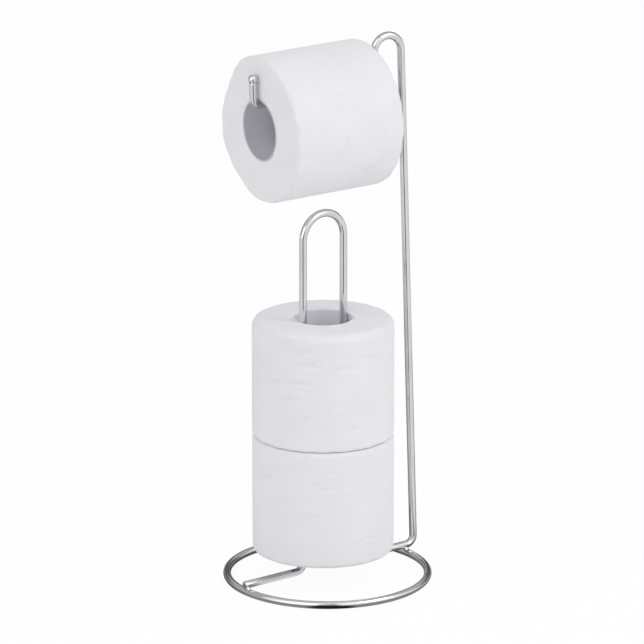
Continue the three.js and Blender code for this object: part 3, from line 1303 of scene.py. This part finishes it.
@dataclass
class ToiletRoll:
    """Wound paper on a core tube, with a loose last sheet, creases and layered ends."""

    name: str
    body: Body
    place: RollPlace
    sizes: HolderSizes
    roll_r: float
    seed: int
    tail_turn: float
    low_edge_r: float
    high_edge_r: float
    # creases of the outer sheet
    creases: int = 22
    crease_tilt: float = 0.0
    crease_tilt_spread: float = 0.12
    crease_lengths_mm: Span = (8.0, 24.0)
    crease_widths_mm: Span = (1.6, 3.0)
    crease_depths_mm: Span = (0.25, 0.65)
    crease_margin: float = 1.3
    crease_bend: float = 0.35
    crease_bends: float = 5.0
    crease_fade: float = 2.2
    seen_creases: tuple[Crease, ...] = ()
    # Groove depth at which a crease's painted shade is full
    deep_fold: float = 0.35 * MM
    # handling of the whole roll
    flats: tuple[Flat, ...] = ()
    slide: float = 0.0
    # grid of the paper
    columns: int = 400
    side_rows: int = 104
    end_rows: int = 44
    arc_rows: int = 9
    bore_rows: int = 6
    bore_gap: float = 0.05 * MM
    bore_margin: float = 0.01 * MM
    # wound side and worn edges
    sheet_step: float = 0.45 * MM
    undulation: float = 0.22 * MM
    waves: range = range(2, 6)
    wave_seed: int = 100
    edge_wear: float = 0.6 * MM
    edge_dents: int = 9
    edge_drift: float = 2.0
    # layers on the ends
    layer_depth: float = 0.07 * MM
    layer_pitch: float = 1.25 * MM
    layer_pitch_ratio: float = 2.7
    layer_bends: Span = (0.9, 0.6)
    layer_share: float = 0.4
    layer_seed: int = 200
    dish_share: float = 0.35
    # core tube
    core_columns: int = 160
    core_rows: int = 90
    core_rim: float = 0.25 * MM
    core_rim_rows: int = 9
    seam_depth: float = 0.12 * MM
    seam_turns: float = 1.1
    seam_width: float = 0.012

    def outline(self) -> tuple[np.ndarray, np.ndarray, np.ndarray]:
        """Closed outline of the wound paper, from the bore's lower edge round and back.

        The four corners are quarter circles, and the runs between them are straight.

        Returns:
            Points as (radius, height), outward directions, and 1 on the ends and 0 elsewhere.
        """
        s = self.sizes
        bore = s.core_r + self.bore_gap
        inner, top = bore + s.bore_edge_r, s.roll_width
        low, high = self.low_edge_r, self.high_edge_r
        corners = (
            (inner, s.bore_edge_r, s.bore_edge_r),
            (self.roll_r - low, low, low),
            (self.roll_r - high, top - high, high),
            (inner, top - s.bore_edge_r, s.bore_edge_r),
        )
        starts = (2 * QUARTER_TURN, 3 * QUARTER_TURN, 0.0, QUARTER_TURN)
        rows = (self.end_rows, self.side_rows, self.end_rows, self.bore_rows)
        faces = np.array(((0.0, -1.0), (1.0, 0.0), (0.0, 1.0), (-1.0, 0.0)))
        arcs, outs = [], []
        for (x, z, radius), start in zip(corners, starts):
            angle = start + np.linspace(0, QUARTER_TURN, self.arc_rows)
            out = np.stack((np.cos(angle), np.sin(angle)), axis=1)
            arcs.append(np.array((x, z)) + radius * out)
            outs.append(out)
        points, outward = [], []
        for index, (arc, out, count, face) in enumerate(zip(arcs, outs, rows, faces)):
            share = np.linspace(0, 1, count + 2)[1:-1, None]
            following = arcs[(index + 1) % len(arcs)][0]
            points += [arc, arc[-1] + share * (following - arc[-1])]
            outward += [out, np.repeat(face[None], count, axis=0)]
        outward = np.vstack(outward)
        return np.vstack(points), outward, np.abs(outward[:, 1]) ** 4

    def random_creases(self) -> list[Crease]:
        """Creases scattered over the side, the same on every run.

        Returns:
            The creases.
        """
        draw = np.random.default_rng(self.seed)
        margin = self.sizes.roll_edge_r * self.crease_margin
        made = [
            Crease(
                turn=draw.uniform(0, FULL_TURN),
                height=draw.uniform(margin, self.sizes.roll_width - margin),
                length=draw.uniform(*self.crease_lengths_mm) * MM,
                width=draw.uniform(*self.crease_widths_mm) * MM,
                depth=draw.uniform(*self.crease_depths_mm) * MM,
                tilt=self.crease_tilt + draw.normal(0, self.crease_tilt_spread),
            )
            for _ in range(self.creases)
        ]
        return made + list(self.seen_creases)

    def side_relief(self, turn: np.ndarray, height: np.ndarray) -> np.ndarray:
        """Height of the side's surface over a true cylinder.

        The sheet is wound as a spiral, so the surface falls by one sheet over a whole turn
        and steps back at the loose edge. A few long waves round and along the roll are added.

        Args:
            turn: angles round the axis.
            height: heights along the axis.

        Returns:
            The relief in metres, of the shape of the angles.
        """
        s = self.sizes
        draw = np.random.default_rng(self.seed + self.wave_seed)
        past = (turn - self.tail_turn) / FULL_TURN % 1.0
        relief = -self.sheet_step * past
        for order in self.waves:
            phase, slope = draw.uniform(0, FULL_TURN), draw.uniform(-1, 1)
            wave = np.sin(order * turn + phase + slope * height / s.roll_width * HALF_TURN)
            relief = relief + self.undulation / order * (wave - 1) / 2
        return relief

    def fold_relief(self, turn: np.ndarray, height: np.ndarray) -> np.ndarray:
        """Height of the creases over the side's surface.

        Each crease is a ridge beside a groove: minus x times the bell curve of x across it,
        faded by a bell curve along it and bent by a slow wave.

        Args:
            turn: angles round the axis.
            height: heights along the axis.

        Returns:
            The relief in metres, of the shape of the angles.
        """
        relief = np.zeros_like(turn)
        for crease in self.random_creases():
            arc = turned_from(turn, crease.turn) * self.roll_r
            rise = height - crease.height
            cosine, sine = math.cos(crease.tilt), math.sin(crease.tilt)
            along = (cosine * arc + sine * rise) / crease.length
            across = (cosine * rise - sine * arc) / crease.width
            bend = np.sin(self.crease_bends * along + crease.turn)
            across = across + self.crease_bend * bend
            fold = -crease.depth * across * np.exp(-(across**2))
            relief = relief + fold * np.exp(-((along * self.crease_fade) ** 2))
        return relief

    def squeeze(
        self, radius: np.ndarray, turn: np.ndarray, height: np.ndarray
    ) -> tuple[np.ndarray, np.ndarray]:
        """Press the wound paper out of round and slide its outer layers towards the low end.

        A flat is a raised cosine round the roll, half as deep at the low end as at the high
        one. Its depth grows from nothing at the core as the square of the share of the paper
        that is passed, and the slide as that share and the distance from the high end.

        Args:
            radius: distances from the axis.
            turn: angles round the axis.
            height: heights along the axis.

        Returns:
            The new radii and heights.
        """
        s = self.sizes
        share = np.clip((radius - s.core_r) / (self.roll_r - s.core_r), 0, 1)
        level = np.clip(height / s.roll_width, 0, 1)
        pressed = np.zeros_like(turn)
        for flat in self.flats:
            off = np.clip(turned_from(turn, flat.turn) / flat.spread, -1, 1)
            bell = 0.5 + 0.5 * np.cos(HALF_TURN * off)
            pressed = pressed + flat.depth * bell
        moved_radius = radius - pressed * share**2 * (0.5 + 0.5 * level)
        return moved_radius, height - self.slide * share * (1 - level)

    def end_relief(self, turn: np.ndarray, radius: np.ndarray) -> np.ndarray:
        """Depth of the layers on the ends.

        The product of two waves along the radius, of unlike pitch and bent by slow waves
        round the roll, stands for bundles of layers. A slow wave round the roll dishes them.

        Args:
            turn: angles round the axis.
            radius: distances from the axis.

        Returns:
            The relief in metres, zero or less.
        """
        draw = np.random.default_rng(self.seed + self.layer_seed)
        phases = draw.uniform(0, FULL_TURN, 4)
        slow, quick = self.layer_bends
        bend = slow * np.sin(turn + phases[0]) + quick * np.sin(3 * turn + phases[1]) + turn
        way = FULL_TURN * radius
        first = np.sin(way / self.layer_pitch + bend)
        coarse_pitch = self.layer_pitch * self.layer_pitch_ratio
        second = np.sin(way / coarse_pitch - bend + phases[2])
        dish = np.sin(2 * turn + phases[3]) - 1
        layers = (first * second - 1) * self.layer_share
        return self.layer_depth * (layers + dish * self.dish_share)

    @staticmethod
    def turned(
        profile: np.ndarray, columns: int
    ) -> tuple[np.ndarray, np.ndarray, np.ndarray]:
        """Turn an outline round the axis.

        Args:
            profile: points as (radius, height).
            columns: number of places round the axis.

        Returns:
            Radius, angle and height, each shaped (points, columns).
        """
        angle = np.linspace(0, FULL_TURN, columns, endpoint=False)
        radius, height = (np.repeat(profile[:, k, None], columns, 1) for k in (0, 1))
        return radius, np.broadcast_to(angle, radius.shape), height

    @staticmethod
    def wrapped(profile: np.ndarray, radius: float, columns: int) -> np.ndarray:
        """Surface coordinates of a turned outline.

        The first is the way round at one radius, and the second the way along the outline,
        the running sum of the distances between its points.

        Args:
            profile: points as (radius, height).
            radius: radius at which the way round is measured.
            columns: number of places round the axis.

        Returns:
            Coordinates shaped (points + 1, columns + 1, 2).
        """
        lengths = np.linalg.norm(np.diff(profile, axis=0, append=profile[:1]), axis=1)
        along = np.concatenate(((0.0,), np.cumsum(lengths)))
        around = np.linspace(0, FULL_TURN * radius, columns + 1)
        return surface_grid(along, around)[..., ::-1]

    def paper(self) -> bpy.types.Object:
        """Build the wound paper.

        Each point of the outline is turned round the axis, and moved along its outward
        direction by the relief of the side or of the end, less dents in the worn edges that
        are the fourth power of a sine round the roll. Then the roll is squeezed.

        Returns:
            The paper's object.
        """
        s = self.sizes
        profile, outward, end = self.outline()
        radius, turn, height = self.turned(profile, self.columns)
        on_side = np.clip(outward[:, 0], 0, 1)[:, None] ** 2
        on_end = np.abs(outward[:, 1])[:, None] ** 2
        off_bore = radius > s.core_r + self.bore_gap + self.bore_margin
        folds = on_side * self.fold_relief(turn, height)
        relief = on_side * self.side_relief(turn, height) + folds
        relief = relief + on_end * self.end_relief(turn, radius) * off_bore
        on_edge = (4 * on_side * on_end) * (radius > (s.core_r + self.roll_r) / 2)
        drift = self.edge_drift * np.sin(2 * turn + self.seed)
        dents = np.sin(self.edge_dents * turn + drift) ** 4
        relief = relief - on_edge * self.edge_wear * dents
        moved_radius = radius + outward[:, 0, None] * relief
        moved_height = height + outward[:, 1, None] * relief
        moved_radius, moved_height = self.squeeze(moved_radius, turn, moved_height)
        points = self.place.to_world(moved_radius, turn, moved_height)
        uv = self.wrapped(profile, self.roll_r, self.columns)
        # fold carries the creases' groove depth to the tissue, for painted shade in the grooves
        values = {
            "end": np.repeat(end[:, None], self.columns, axis=1),
            "fold": np.clip(-folds / self.deep_fold, 0, 1),
        }
        name = f"{self.name}_tissue"
        return MeshMaker.from_grid(name, points, uv, wrap_rows=True, attributes=values)

    def core(self) -> bpy.types.Object:
        """Build the core tube.

        The outline is the tube's wall with rims that are half ellipses. On the inner wall a
        shallow groove follows the spiral joint of the ply, as a bell curve across it.

        Returns:
            The core's object.
        """
        s = self.sizes
        rim = np.linspace(0, HALF_TURN, self.core_rim_rows)
        middle, half = (s.core_r + s.core_bore_r) / 2, s.core_wall / 2
        dip = self.core_rim * (1 - np.sin(rim))
        wall_z = np.linspace(self.core_rim, s.roll_width - self.core_rim, self.core_rows)[1:-1]
        runs = (
            (middle - half * np.cos(rim), dip),
            (np.full_like(wall_z, s.core_r), wall_z),
            (middle + half * np.cos(rim), s.roll_width - dip),
            (np.full_like(wall_z, s.core_bore_r), wall_z[::-1]),
        )
        profile = np.vstack([np.stack(run, axis=1) for run in runs])
        radius, turn, height = self.turned(profile, self.core_columns)
        spiral = (turn / FULL_TURN + height / s.roll_width * self.seam_turns) % 1.0 - 0.5
        groove = self.seam_depth * np.exp(-((spiral / self.seam_width) ** 2))
        radius = radius + groove * (radius < s.core_bore_r + self.bore_margin)
        points = self.place.to_world(radius, turn, height)
        uv = self.wrapped(profile, s.core_r, self.core_columns)
        return MeshMaker.from_grid(f"{self.name}_board", points, uv, wrap_rows=True)

    def build(self, tissue: bpy.types.Material, board: bpy.types.Material) -> None:
        """Build, dress and place the roll's paper and core.

        Args:
            tissue: finish of the paper.
            board: finish of the core.
        """
        dress(self.paper(), tissue, self.body, f"{self.name}_paper")
        dress(self.core(), board, self.body, f"{self.name}_core")


# Largest creases of the spare rolls, where the photograph shows them
UPPER_ROLL_CREASES = (
    Crease(math.radians(207.0), 87.0 * MM, 20 * MM, 2.6 * MM, 0.72 * MM, 0.02),
    Crease(math.radians(216.0), 78.9 * MM, 16 * MM, 2.4 * MM, 0.72 * MM, 0.00),
    Crease(math.radians(220.2), 68.2 * MM, 19 * MM, 2.9 * MM, 0.86 * MM, -0.12),
    Crease(math.radians(237.6), 60.7 * MM, 10 * MM, 2.1 * MM, 0.53 * MM, 0.00),
    Crease(math.radians(187.9), 52.1 * MM, 17 * MM, 2.6 * MM, 0.77 * MM, -0.18),
    Crease(math.radians(212.7), 53.7 * MM, 20 * MM, 2.6 * MM, 0.82 * MM, -0.06),
    Crease(math.radians(202.0), 40.3 * MM, 18 * MM, 2.7 * MM, 0.72 * MM, 0.05),
    Crease(math.radians(216.9), 25.3 * MM, 8 * MM, 2.2 * MM, 0.62 * MM, 0.00),
)
LOWER_ROLL_CREASES = (
    Crease(math.radians(182.3), 67.0 * MM, 20 * MM, 2.4 * MM, 0.65 * MM, 0.06),
    Crease(math.radians(180.0), 46.5 * MM, 16 * MM, 2.2 * MM, 0.55 * MM, -0.08),
    Crease(math.radians(231.4), 63.0 * MM, 18 * MM, 2.3 * MM, 0.60 * MM, 0.10),
    Crease(math.radians(225.9), 41.0 * MM, 14 * MM, 2.2 * MM, 0.50 * MM, -0.05),
    Crease(math.radians(237.8), 77.0 * MM, 12 * MM, 2.0 * MM, 0.45 * MM, 0.00),
    Crease(math.radians(196.0), 78.0 * MM, 22 * MM, 2.4 * MM, 0.55 * MM, 0.04),
)
# Where handling has pressed the hanging roll, and how far its outer layers have slid back
HANGING_ROLL_FLATS = (
    Flat(math.radians(59.0), math.radians(36.0), 4.4 * MM),
    Flat(math.radians(108.0), math.radians(18.0), -1.8 * MM),
    Flat(math.radians(145.0), math.radians(18.0), 2.0 * MM),
)
HANGING_ROLL_SLIDE = 2.0 * MM


def make_rolls(sizes: HolderSizes) -> list[ToiletRoll]:
    """The hanging roll and the spare rolls.

    The hanging roll's rear face is a short way along the bar from its first corner, and its
    axis is as far under the bar as the bore allows. Each spare roll stands a roll's width and
    a gap over the one before.

    Args:
        sizes: sizes of the stand and its rolls.

    Returns:
        The rolls, not built yet.
    """
    rear = (
        sizes.shift
        + sizes.bar_start
        + sizes.bar_direction * sizes.roll_start
        - sizes.tip_direction * sizes.roll_drop
    )
    hanging = RollPlace(rear, sizes.bar_direction, sizes.tip_direction)
    rolls = [
        ToiletRoll(
            "hanging_roll",
            Body.HANGING_ROLL,
            hanging,
            sizes,
            sizes.hanging_roll_r,
            seed=11,
            tail_turn=math.radians(215),
            low_edge_r=sizes.roll_edge_r / 2,
            high_edge_r=sizes.roll_edge_r / 2,
            creases=12,
            crease_tilt=QUARTER_TURN,
            flats=HANGING_ROLL_FLATS,
            slide=HANGING_ROLL_SLIDE,
        )
    ]
    spare_bodies = (Body.SPARE_ROLL_1, Body.SPARE_ROLL_2)
    for index, body in enumerate(spare_bodies[: sizes.spare_rolls]):
        foot = sizes.shift + np.array(
            (sizes.loop_offset, 0.0, sizes.seat_z + index * (sizes.roll_width + sizes.touch_gap))
        )
        place = RollPlace(foot, UP, np.array((1.0, 0.0, 0.0)))
        highest = index == sizes.spare_rolls - 1
        rolls.append(
            ToiletRoll(
                body.value,
                body,
                place,
                sizes,
                sizes.spare_roll_r,
                seed=23 + index,
                tail_turn=math.radians(60 + 30 * index),
                low_edge_r=sizes.roll_edge_r / 2,
                high_edge_r=sizes.roll_edge_r if highest else sizes.roll_edge_r / 2,
                seen_creases=UPPER_ROLL_CREASES if highest else LOWER_ROLL_CREASES,
            )
        )
    return rolls


# Studio


@dataclass(frozen=True)
class SoftBox:
    """Soft square lamp, placed by its bearing right of the camera and its elevation."""

    name: str
    bearing: float
    elevation: float
    distance: float
    width: float
    power: float


@dataclass(frozen=True)
class Studio:
    """Camera, lamps, white surroundings and the pale floor."""

    LEVEL_GUARD: ClassVar[float] = 1.001

    # camera
    camera_distance: float = 3.37674
    camera_height: float = 1.16823
    bearing: float = math.radians(38.095)
    turned_left: float = math.radians(0.073)
    pitch: float = math.radians(15.863)
    focal_pixels: float = 4500.0
    frame_pixels: float = 644.0
    sensor: float = 36.0
    lens_end: float = 100.0
    # room
    ambient: float = 0.67
    room_white: float = 1.2
    low_white: float = 0.88
    white_rise: Edges = (-0.05, 0.45)
    upper_rise: Edges = (-0.10, 0.20)
    back_share: float = 0.57
    back_turn: float = math.radians(25)
    back_tilt: float = math.radians(14)
    back_edges: Edges = (-0.22, 0.22)
    low_share: float = 0.78
    low_rise: Edges = (0.50, 0.28)
    low_edges: Edges = (0.45, 0.78)
    lens_share: float = 0.93
    lens_high_share: float = 0.60
    lens_turn: float = math.radians(0.5)
    lens_edges: Edges = (0.962, 0.992)
    lens_rise: Edges = (0.30, 0.10)
    lens_high_rise: Edges = (0.995, 0.85)
    # floor
    floor_radius: float = 12.0
    floor_corners: int = 96
    floor_colour: Colour = (0.95, 0.95, 0.95, 1.0)
    floor_glow: float = 0.95
    contact_share: float = 0.66
    contact_outer: Edges = (0.125, 0.100)
    contact_inner: Edges = (0.060, 0.075)
    pool_share: float = 0.55
    pool_reach: Edges = (0.80, 0.50)
    pool_edges: Edges = (-0.40, 0.30)
    # lamps
    aim_height: float = 0.22
    lamps: tuple[SoftBox, ...] = (
        SoftBox("key_lamp", 64.0, 37.0, 2.4, 1.3, 15.8),
        SoftBox("fill_lamp", -42.0, 34.0, 2.6, 3.4, 18.2),
        SoftBox("top_lamp", 20.0, 74.0, 2.4, 1.2, 0.3),
    )

    def forward(self) -> np.ndarray:
        """Level direction from the camera to the ring's centre."""
        return level_direction(self.bearing)

    def back_axis(self) -> np.ndarray:
        """Level direction to the greyest side of the room."""
        return level_direction(self.bearing - self.back_turn)

    def camera(self, sizes: HolderSizes) -> None:
        """Place the camera at the photograph's viewing angle.

        The lens is as many times the sensor's width as the focal length in pixels is of the
        frame's width. The view goes level to the aim, times the pitch's cosine, and down by
        the pitch's sine.

        Args:
            sizes: sizes of the stand, for its shift off the ring's centre.
        """
        data = bpy.data.cameras.new("view_camera")
        data.sensor_width = self.sensor
        data.lens = self.focal_pixels * self.sensor / self.frame_pixels
        data.clip_end = self.lens_end
        camera = add_object("view_camera", data)
        place = sizes.shift - self.forward() * self.camera_distance + UP * self.camera_height
        aim = level_direction(self.bearing - self.turned_left)
        self._face(camera, place, aim * math.cos(self.pitch) - UP * math.sin(self.pitch))
        bpy.context.scene.camera = camera

    @staticmethod
    def _face(thing: bpy.types.Object, place: np.ndarray, look: np.ndarray) -> None:
        """Put a camera or a lamp at a place, facing along a direction with its top up."""
        turn = Vector(look).to_track_quat("-Z", "Y").to_matrix().to_4x4()
        thing.matrix_world = Matrix.Translation(Vector(place)) @ turn

    def add_lamps(self) -> None:
        """Add the soft boxes, all aimed at the middle of the stand."""
        towards = -self.forward()
        right = level_direction(self.bearing + QUARTER_TURN)
        for box in self.lamps:
            bearing, rise = math.radians(box.bearing), math.radians(box.elevation)
            level = math.cos(bearing) * towards + math.sin(bearing) * right
            offset = box.distance * (math.cos(rise) * level + math.sin(rise) * UP)
            data = bpy.data.lights.new(box.name, "AREA")
            data.shape = "SQUARE"
            data.size = box.width
            data.energy = box.power
            self._face(add_object(box.name, data), self.aim_height * UP + offset, -offset)

    def _room(self, graph: Graph, direction: Value) -> Value:
        """How bright the room is in a direction, as bright metal shows it.

        The room is white in front of the stand, where the soft boxes are, a little less so
        towards the floor, and grey behind and over it, more so on the left. Behind it the
        room is darker just above the floor, and it is darkest in the narrow sector where the
        camera stands, which reaches overhead with less weight. The brightness is the white
        times one less each shade, and a shade is its share times smooth steps of the
        direction's height and of its cosine to an axis.

        Args:
            graph: graph to add nodes to.
            direction: unit vector from the stand into the room.

        Returns:
            The brightness, where 1 is white.
        """
        lens_axis = level_direction(self.bearing + HALF_TURN - self.lens_turn)
        lens = graph.along(direction, lens_axis)
        back = self.back_axis() * math.cos(self.back_tilt) + UP * math.sin(self.back_tilt)
        rise = graph.along(direction, UP)
        level = (self.LEVEL_GUARD - rise * rise) ** 0.5
        upper = rise.smooth(*self.upper_rise)
        white = self.low_white + (self.room_white - self.low_white) * rise.smooth(*self.white_rise)
        behind = graph.along(direction, back).smooth(*self.back_edges) * upper
        ahead = graph.along(direction, self.forward()).smooth(*self.low_edges)
        low = ahead * rise.size().smooth(*self.low_rise) * upper
        high = rise.smooth(*self.lens_high_rise) * self.lens_high_share
        reach = rise.smooth(*self.lens_rise) * (1.0 - high) + high
        sector = (lens / level).smooth(*self.lens_edges) * reach
        grey = (1.0 - self.back_share * behind) * (1.0 - self.low_share * low)
        return white * (grey * (1.0 - self.lens_share * sector))

    def world(self) -> None:
        """Fill the world with a white room.

        It is plain white to the camera and through glass, the zoned room to metal, and of the
        ambient strength elsewhere: the sum of each strength times its kind of light path.
        """
        world = bpy.data.worlds.new("white_room")
        world.use_nodes = True
        bpy.context.scene.world = world
        graph = Graph(world.node_tree)
        direction = graph.node("ShaderNodeTexCoord", output="Generated")
        camera, glossy = graph.ray("Is Camera Ray"), graph.ray("Is Glossy Ray")
        through = graph.ray("Is Transmission Ray")
        plain = 1.0 - camera - glossy - through
        shown = glossy * self._room(graph, direction)
        strength = camera + through + shown + plain * self.ambient
        inputs = {"Color": WHITE, "Strength": strength}
        background = graph.node("ShaderNodeBackground", None, inputs)
        graph.finish(background, "ShaderNodeOutputWorld")

    def floor(self) -> None:
        """Lay the pale floor, which keeps a soft shadow.

        To the camera it is mostly a glow of plain white. To metal it glows as the room does
        in the direction of each point from the middle, times one less the shade of contact
        in a band along the ring, and times one less a grey pool behind the stand.
        """
        turn = np.linspace(0, FULL_TURN, self.floor_corners, endpoint=False)
        rim = self.floor_radius * level_circle(turn)
        mesh = bpy.data.meshes.new("floor")
        mesh.from_pydata(rim.tolist(), [], [list(range(len(rim)))])
        floor = add_object("floor", mesh)
        material, graph = new_material("pale_floor")
        place = {0: graph.place()}
        direction = graph.node("ShaderNodeVectorMath", {"operation": "NORMALIZE"}, place)
        settings = {"operation": "LENGTH"}
        reach = graph.node("ShaderNodeVectorMath", settings, place, output="Value")
        camera, glossy = graph.ray("Is Camera Ray"), graph.ray("Is Glossy Ray")
        # Painted shadow: the floor's glow to metal is darker in a band along the ring, standing for
        # its contact shadow
        band = reach.smooth(*self.contact_outer) * reach.smooth(*self.contact_inner)
        contact = 1.0 - self.contact_share * band
        behind = graph.along(direction, self.back_axis()).smooth(*self.pool_edges)
        pool = 1.0 - self.pool_share * behind * reach.smooth(*self.pool_reach)
        glow = camera + glossy * (self._room(graph, direction) * contact * pool)
        diffuse = graph.node("ShaderNodeBsdfDiffuse", None, {"Color": self.floor_colour})
        inputs = {"Color": WHITE, "Strength": glow}
        shine = graph.node("ShaderNodeEmission", None, inputs)
        share = camera * self.floor_glow + glossy
        graph.finish(graph.node("ShaderNodeMixShader", None, {0: share, 1: diffuse, 2: shine}))
        mesh.materials.append(material)

    def build(self, sizes: HolderSizes) -> None:
        """Build the whole studio.

        Args:
            sizes: sizes of the stand.
        """
        self.camera(sizes)
        self.add_lamps()
        self.world()
        self.floor()
        bpy.context.scene.view_settings.view_transform = "Standard"


# Assembly


def dress(
    piece: bpy.types.Object, material: bpy.types.Material, body: Body, node: str
) -> None:
    """Give a piece its finish, its body and the solid that it stands for.

    Args:
        piece: the finished piece.
        material: its material.
        body: the body that it rides on.
        node: the solid that it replaces.
    """
    piece.data.materials.append(material)
    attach(piece, body.value)
    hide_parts(node)
    LOG.info(
        "%s: %d faces, rides on %s, stands for %s",
        piece.name,
        len(piece.data.polygons),
        body.value,
        node,
    )


def main() -> None:
    """Load the frame, build the studio, the stand and the rolls."""
    logging.basicConfig(level=logging.INFO, format="%(name)s %(message)s")
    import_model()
    sizes = HolderSizes()
    Studio().build(sizes)
    WireStand(sizes).build()
    finishes = (SoftTissue(), GreyBoard(), PAINTED_LIGHT_BOARD)
    tissue, board, painted_light_board = (finish.material() for finish in finishes)
    # The spare rolls' cores take the copy of the board with painted light
    for roll in make_rolls(sizes):
        roll.build(tissue, board if roll.body is Body.HANGING_ROLL else painted_light_board)


if __name__ == "__main__":
    main()
